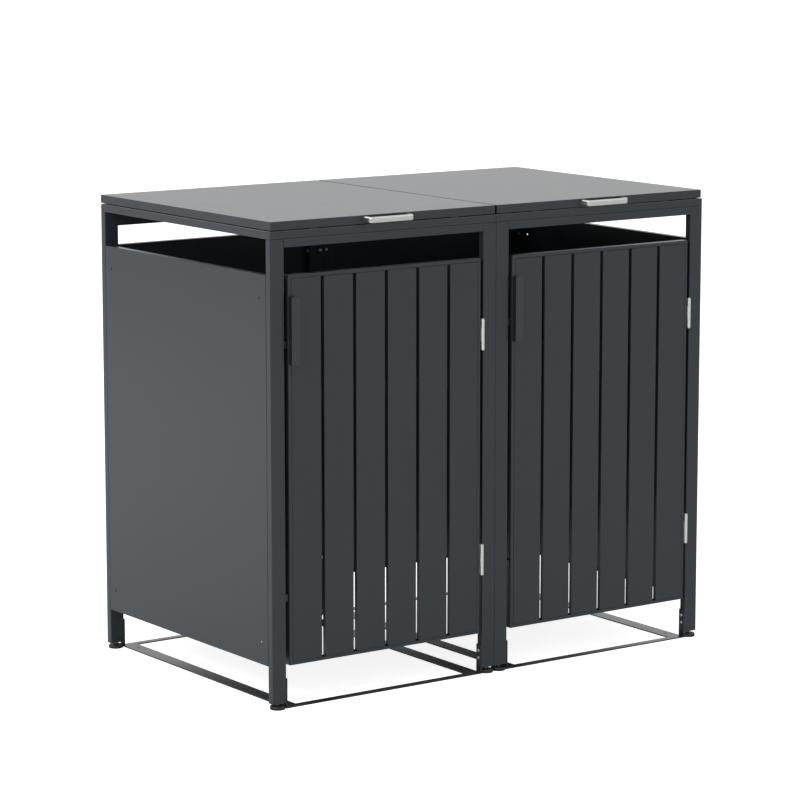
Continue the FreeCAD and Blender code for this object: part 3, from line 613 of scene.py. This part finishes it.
def model_foot_stem():
    """The threaded stem, which is cut away and widened again for each turn of the thread."""
    thread_start = FOOT_THICKNESS + COLLAR_HEIGHT
    bpy.ops.mesh.primitive_cylinder_add(vertices=STEM_SIDES, radius=STEM_RADIUS,
                                        depth=COLLAR_HEIGHT,
                                        location=(0.0, 0.0, thread_start - COLLAR_HEIGHT / 2))
    stem = bpy.context.object
    settle(stem)
    edit(stem)
    pick(stem, facing(UP))
    height = thread_start
    for turn in range(THREAD_TURNS):
        for width in (THREAD_ROOT, 1 / THREAD_ROOT):
            draw_out(0.0, 0.0, THREAD_PITCH / 2)
            height += THREAD_PITCH / 2
            resize(width, width, 1.0, (0.0, 0.0, height))
    draw_out(0.0, 0.0, STEM_TOP - height)
    close()
    smooth(stem)
    return stem


def make_feet():
    """The levelling feet, each a disc and a stem that ride together."""
    disc = model_foot_disc()
    stem = model_foot_stem()
    for side in SIDES:
        for face in FACES:
            for end in SIDES:
                node = f"{side}_bay_{face}_{end}_foot"
                low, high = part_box(node)
                place = Matrix.Translation(((low[0] + high[0]) / 2, (low[1] + high[1]) / 2, 0.0))
                foot = joined(node + "_disc", [copied(disc, place)])
                dress(foot, foot_plastic, "foot_plastic", node, node)
                shank = joined(node + "_stem", [copied(stem, place)])
                dress(shank, zinc_plate, "zinc_screw", node, node)
    discard(disc)
    discard(stem)


RIM_WIDTH = 8.4 * MM
RIM_FOLD = 1.2 * MM
RIM_EDGE = 0.6 * MM
SHEET = 1.5 * MM


def make_door_rim(side):
    """The rim of a door: sheet folded to a channel on all four sides, its raw edges rounded."""
    node = side + "_door_frame"
    low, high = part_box(node)
    rim = block(low, high)
    edit(rim)
    bpy.ops.mesh.select_all(action="SELECT")
    bpy.ops.mesh.bevel(offset=RIM_FOLD, segments=3, affect="EDGES")
    for direction in (FRONTWARD, BACKWARD):
        pick(rim, facing(direction))
        bpy.ops.mesh.inset(thickness=RIM_WIDTH - RIM_FOLD)
        bpy.ops.mesh.delete(type="FACE")
    close()
    wall = rim.modifiers.new("sheet", "SOLIDIFY")
    wall.thickness = SHEET
    wall.offset = -1.0
    wall.use_even_offset = True
    edges = rim.modifiers.new("raw edges", "BEVEL")
    edges.width = RIM_EDGE
    edges.segments = 3
    edges.limit_method = "ANGLE"
    edges.angle_limit = FOLD_ANGLE
    apply_modifiers(rim)
    smooth(rim)
    dress(joined(node + "_folded", [rim]), FINISHES["door_coat"], "door_coat", body_of[node], node)


STOP_WIDTH = 8.0 * MM
MAGNET_DEPTH = 12.0 * MM
POLE_INSET = 3.0 * MM
POLE_LEVEL = 3.5 * MM
POLE_HEIGHT = 2.4 * MM
POLE_PROUD = 0.15 * MM
POLE_DEPTH = 0.8 * MM
POLE_ROUNDING = 0.25 * MM
HOUSING_ROUNDING = 0.7 * MM
POCKET_BORDER = 1.4 * MM
POCKET_DEPTH = 0.4 * MM


def model_catch(low, high):
    """The housing of a magnetic catch, with its stop in front and a pocket for the magnet."""
    magnet_front = high.y - MAGNET_DEPTH
    stop_side = low.x + STOP_WIDTH
    housing = block((low.x, magnet_front, low.z), high)
    edit(housing)
    bpy.ops.mesh.select_all(action="SELECT")
    bpy.ops.mesh.bisect(plane_co=(stop_side, 0.0, 0.0), plane_no=(1.0, 0.0, 0.0))
    pick(housing, lambda face: facing(FRONTWARD)(face)
         and face.calc_center_median().x < stop_side)
    draw_out(0.0, low.y - magnet_front, 0.0)
    pick(housing, folded, "EDGE")
    bpy.ops.mesh.bevel(offset=HOUSING_ROUNDING, segments=2, affect="EDGES")
    pick(housing, lambda face: facing(FRONTWARD)(face)
         and face.calc_center_median().x > stop_side)
    bpy.ops.mesh.inset(thickness=POCKET_BORDER)
    draw_out(0.0, POCKET_DEPTH, 0.0)
    close()
    smooth(housing)
    return housing


def model_poles(low, high):
    """The two steel poles that the door's rim comes to lie against."""
    magnet_front = high.y - MAGNET_DEPTH
    middle = (low.z + high.z) / 2
    poles = []
    for level in (middle - POLE_LEVEL, middle + POLE_LEVEL):
        pole = block((low.x + STOP_WIDTH + POLE_INSET, magnet_front - POLE_PROUD,
                      level - POLE_HEIGHT / 2),
                     (high.x - POLE_INSET, magnet_front + POLE_DEPTH, level + POLE_HEIGHT / 2))
        edit(pole)
        bpy.ops.mesh.select_all(action="SELECT")
        bpy.ops.mesh.bevel(offset=POLE_ROUNDING, segments=2, affect="EDGES")
        close()
        smooth(pole)
        poles.append(pole)
    return joined("catch_poles", poles)


def make_catches(side):
    """The catches of a door as two pieces, one for the housings and one for the poles."""
    node = side + "_door_catches"
    housings = []
    poles = []
    for corners in separate_solids(node):
        low, high = box_of(corners)
        housings.append(model_catch(low, high))
        poles.append(model_poles(low, high))
    dress(joined(node + "_housings", housings), FINISHES["catch_plastic"], "catch_plastic",
          body_of[node], node)
    dress(joined(node + "_poles", poles), pole_steel, "hinge_steel", body_of[node], node)


PAD_CORNER = 3.5 * MM
PAD_BORDER = 0.4 * MM
PAD_ROUNDING = 0.3 * MM
PAD_DISH_BORDER = 2.0 * MM
PAD_DISH_DEPTH = 0.3 * MM
PAD_TOP_AREA = 100.0 * MM * MM


def make_pads(side):
    """The rubber pads under the lid's front edge: rounded ends and a shallow dish on top."""
    node = side + "_lid_buffers"
    pads = []
    for corners in separate_solids(node):
        low, high = box_of(corners)
        pad = block(low, high)
        edit(pad)
        pick(pad, upright, "EDGE")
        bpy.ops.mesh.bevel(offset=PAD_CORNER, segments=5, affect="EDGES")
        pick(pad, facing(UP))
        bpy.ops.mesh.inset(thickness=PAD_BORDER)
        pick(pad, lambda edge: folded(edge)
             and all(abs(corner.co.z - high.z) < NEAR for corner in edge.verts), "EDGE")
        bpy.ops.mesh.bevel(offset=PAD_ROUNDING, segments=2, affect="EDGES")
        pick(pad, lambda face: facing(UP)(face) and face.calc_area() > PAD_TOP_AREA)
        bpy.ops.mesh.inset(thickness=PAD_DISH_BORDER)
        draw_out(0.0, 0.0, -PAD_DISH_DEPTH)
        close()
        smooth(pad)
        pads.append(pad)
    dress(joined(node + "_moulded", pads), FINISHES["rubber"], "rubber", body_of[node], node)


SPOT_RADIUS = 3.0 * MM
SPOT_HEIGHT = 0.3 * MM
SPOT_SIDES = 16
SPOT_TAPER = 0.85
SPOT_RING = 0.5 * MM
SPOT_DIMPLE = 0.2 * MM


def model_spot():
    """A spot weld under the coat: a low ring round a flat dimple, on the origin and facing up."""
    bpy.ops.mesh.primitive_cylinder_add(vertices=SPOT_SIDES, radius=SPOT_RADIUS,
                                        depth=SPOT_HEIGHT, location=(0.0, 0.0, SPOT_HEIGHT / 2))
    spot = bpy.context.object
    settle(spot)
    edit(spot)
    pick(spot, facing(UP))
    resize(SPOT_TAPER, SPOT_TAPER, 1.0, (0.0, 0.0, SPOT_HEIGHT))
    bpy.ops.mesh.inset(thickness=SPOT_RING)
    bpy.ops.mesh.inset(thickness=SPOT_RING)
    bpy.ops.transform.translate(value=(0.0, 0.0, -SPOT_DIMPLE))
    close()
    smooth(spot)
    return spot


def make_spots(node, places, direction, slot):
    """Spot welds in these places on a node, all facing one way."""
    master = model_spot()
    turn = UP.rotation_difference(direction).to_matrix().to_4x4()
    spots = [copied(master, Matrix.Translation(place) @ turn) for place in places]
    discard(master)
    dress(joined(node + "_spot_welds", spots), FINISHES[slot], slot, body_of[node])


SLAT_SPOT_OFFSET = 22.0 * MM
FLANGE_SPOT_INSET = 5.0 * MM
FLANGE_SPOT_END = 20.0 * MM
FLANGE_SPOTS = 8
FLANGE_SHEET = 1.2 * MM


def make_door_spots(side):
    """Two spot welds where each slat crosses each bar behind it."""
    slats = [box_of(corners) for corners in separate_solids(side + "_door_slats")]
    bars = [box_of(corners) for corners in separate_solids(side + "_door_crossbars")]
    places = []
    for slat_low, slat_high in slats:
        middle = (slat_low.x + slat_high.x) / 2
        for low, high in bars:
            for offset in (-SLAT_SPOT_OFFSET, SLAT_SPOT_OFFSET):
                places.append(Vector((middle + offset, high.y, (low.z + high.z) / 2)))
    make_spots(side + "_door_crossbars", places, BACKWARD, "door_coat")


def make_lid_spots(side):
    """Rows of spot welds on the flanges of the channels under the lid."""
    node = side + "_lid_stiffeners"
    places = []
    for corners in separate_solids(node):
        low, high = box_of(corners)
        run = high.x - low.x - 2 * FLANGE_SPOT_END
        for y in (low.y + FLANGE_SPOT_INSET, high.y - FLANGE_SPOT_INSET):
            for step in range(FLANGE_SPOTS):
                x = low.x + FLANGE_SPOT_END + run * step / (FLANGE_SPOTS - 1)
                places.append(Vector((x, y, high.z - FLANGE_SHEET)))
    make_spots(node, places, -UP, "lid_coat")


for side in SIDES:
    for group in ("panel_screws", "floor_screws", "handle_screws"):
        make_screws(f"{side}_{group}")
    make_screws(side + "_ring_screws", black_zinc)
    make_door_rim(side)
    make_catches(side)
    make_pads(side)
    make_door_spots(side)
    make_lid_spots(side)
make_screws("bay_link_screws")
make_feet()


CAMERA_PLACE = (-4.891, -6.8378, 2.050)
CAMERA_TURN = 35.465
CAMERA_DROP = 9.42
FOCAL_PIXELS = 3232.0
PHOTO_WIDTH = 800
SENSOR_WIDTH = 36.0
CAMERA_REACH = 500.0

camera_data = bpy.data.cameras.new("camera")
camera_data.sensor_width = SENSOR_WIDTH
camera_data.lens = FOCAL_PIXELS * SENSOR_WIDTH / PHOTO_WIDTH
camera_data.clip_end = CAMERA_REACH
camera = bpy.data.objects.new("camera", camera_data)
bpy.context.scene.collection.objects.link(camera)
camera.location = CAMERA_PLACE
camera.rotation_euler = (math.radians(90 - CAMERA_DROP), 0.0, -math.radians(CAMERA_TURN))
bpy.context.scene.camera = camera


def ray_share(tree, *kinds):
    """One where the ray is of one of these kinds, and zero elsewhere."""
    rays = add(tree, "ShaderNodeLightPath")
    total = 0.0
    for kind in kinds:
        total = reckon(tree, "MAXIMUM", rays.outputs[kind], total)
    return total


FLOOR_SIZE = 400.0
FLOOR_WHITE = 0.80
SEEN_LIFT = 0.86
MIRRORED_LIFT = 0.15
WORLD_LIGHT = 0.60
STORE_MIDDLE = (0.0, 0.0, 0.6)
FLOOR_BESIDE_STORE = (-3.4, 3.9, 0.0)


def make_floor():
    """A plain white floor, lifted where it is seen so that it reads as white around its shadow."""
    bpy.ops.mesh.primitive_plane_add(size=FLOOR_SIZE, location=(0.0, 0.0, 0.0))
    floor = bpy.context.object
    floor.name = "studio_floor"
    material = bpy.data.materials.new("white studio floor")
    material.use_nodes = True
    tree = material.node_tree
    shader = tree.nodes["Principled BSDF"]
    shader.inputs["Base Color"].default_value = (FLOOR_WHITE, FLOOR_WHITE, FLOOR_WHITE, 1.0)
    shader.inputs["Roughness"].default_value = 0.9
    shader.inputs["Specular IOR Level"].default_value = 0.0
    shader.inputs["Emission Color"].default_value = (1.0, 1.0, 1.0, 1.0)
    seen = reckon(tree, "MULTIPLY", ray_share(tree, "Is Camera Ray"), SEEN_LIFT)
    mirrored = reckon(tree, "MULTIPLY", ray_share(tree, "Is Glossy Ray", "Is Transmission Ray"),
                      MIRRORED_LIFT)
    feed(tree, reckon(tree, "ADD", seen, mirrored), shader.inputs["Emission Strength"])
    floor.data.materials.append(material)


def make_world():
    """White where it is seen or mirrored, and a softer light on the store itself."""
    world = bpy.data.worlds.new("white studio")
    bpy.context.scene.world = world
    world.use_nodes = True
    tree = world.node_tree
    background = tree.nodes["Background"]
    background.inputs["Color"].default_value = (1.0, 1.0, 1.0, 1.0)
    shown = ray_share(tree, "Is Camera Ray", "Is Glossy Ray", "Is Transmission Ray")
    feed(tree, spread(tree, shown, 0.0, 1.0, WORLD_LIGHT, 1.0), background.inputs["Strength"])


def make_lamp(name, place, target, size, power):
    """A round soft lamp, aimed at a place."""
    data = bpy.data.lights.new(name, "AREA")
    data.shape = "DISK"
    data.size = size
    data.energy = power
    lamp = bpy.data.objects.new(name, data)
    bpy.context.scene.collection.objects.link(lamp)
    lamp.location = place
    aim = Vector(target) - Vector(place)
    lamp.rotation_euler = aim.to_track_quat("-Z", "Y").to_euler()


make_floor()
make_world()
make_lamp("key lamp", (-6.0, -2.0, 4.5), STORE_MIDDLE, size=3.0, power=160.0)
make_lamp("fill lamp", (3.5, -6.5, 3.5), STORE_MIDDLE, size=3.0, power=25.0)
make_lamp("floor lamp", (-3.4, 3.8, 4.0), FLOOR_BESIDE_STORE, size=5.0, power=125.0)

bpy.context.scene.view_settings.view_transform = "Standard"
